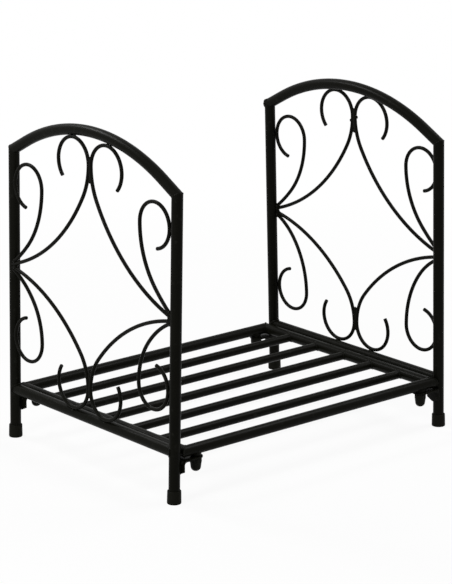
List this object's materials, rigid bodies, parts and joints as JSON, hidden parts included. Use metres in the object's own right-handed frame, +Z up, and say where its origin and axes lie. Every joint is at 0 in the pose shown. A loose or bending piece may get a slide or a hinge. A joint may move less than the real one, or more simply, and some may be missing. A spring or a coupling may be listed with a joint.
{
  "type": "firewood rack",
  "caption": "Free-standing steel firewood rack: two arched scrollwork end panels joined by a raised slatted grate that is held with hand knobs.",
  "frame": {"origin": "on the floor, at the centre of the rack under its feet", "axes": "+X from the left end panel to the right one, +Y from front to back, +Z up"},
  "size_m": [0.6238, 0.465, 0.5863],
  "materials": {
    "powder_coat": "black satin powder coat",
    "knob_plastic": "moulded black plastic, matte",
    "foot_rubber": "matte black moulded cap",
    "zinc": "bright zinc plated"
  },
  "bodies": {
    "rack": {"left_front_upright": "powder_coat", "left_back_upright": "powder_coat", "left_arch_tube": "powder_coat", "left_cross_rail": "powder_coat", "right_front_upright": "powder_coat", "right_back_upright": "powder_coat", "right_arch_tube": "powder_coat", "right_cross_rail": "powder_coat", "left_front_upper_scroll": "powder_coat", "left_front_lower_scroll": "powder_coat", "left_front_upper_curl": "powder_coat", "left_front_lower_curl": "powder_coat", "left_back_upper_scroll": "powder_coat", "left_back_lower_scroll": "powder_coat", "left_back_upper_curl": "powder_coat", "left_back_lower_curl": "powder_coat", "right_front_upper_scroll": "powder_coat", "right_front_lower_scroll": "powder_coat", "right_front_upper_curl": "powder_coat", "right_front_lower_curl": "powder_coat", "right_back_upper_scroll": "powder_coat", "right_back_lower_scroll": "powder_coat", "right_back_upper_curl": "powder_coat", "right_back_lower_curl": "powder_coat", "left_front_bracket": "powder_coat", "left_back_bracket": "powder_coat", "right_front_bracket": "powder_coat", "right_back_bracket": "powder_coat", "left_front_foot": "foot_rubber", "left_back_foot": "foot_rubber", "right_front_foot": "foot_rubber", "right_back_foot": "foot_rubber", "front_rail": "powder_coat", "back_rail": "powder_coat", "left_end_rail": "powder_coat", "right_end_rail": "powder_coat", "slat_1": "powder_coat", "slat_2": "powder_coat", "slat_3": "powder_coat", "slat_4": "powder_coat", "slat_5": "powder_coat", "rail_bosses": "powder_coat", "knob_washers": "zinc"},
    "left_front_hand_knob": {"left_front_knob": "knob_plastic", "left_front_stud": "zinc"},
    "left_back_hand_knob": {"left_back_knob": "knob_plastic", "left_back_stud": "zinc"},
    "right_front_hand_knob": {"right_front_knob": "knob_plastic", "right_front_stud": "zinc"},
    "right_back_hand_knob": {"right_back_knob": "knob_plastic", "right_back_stud": "zinc"}
  },
  "joints": [
    {"name": "left_front_knob_turn", "type": "hinge", "parent": "rack", "child": "left_front_hand_knob", "pos_m": [-0.254, -0.22, 0.06], "axis": [0, 0, 1], "continuous": true},
    {"name": "left_back_knob_turn", "type": "hinge", "parent": "rack", "child": "left_back_hand_knob", "pos_m": [-0.254, 0.22, 0.06], "axis": [0, 0, 1], "continuous": true},
    {"name": "right_front_knob_turn", "type": "hinge", "parent": "rack", "child": "right_front_hand_knob", "pos_m": [0.254, -0.22, 0.06], "axis": [0, 0, 1], "continuous": true},
    {"name": "right_back_knob_turn", "type": "hinge", "parent": "rack", "child": "right_back_hand_knob", "pos_m": [0.254, 0.22, 0.06], "axis": [0, 0, 1], "continuous": true}
  ]
}
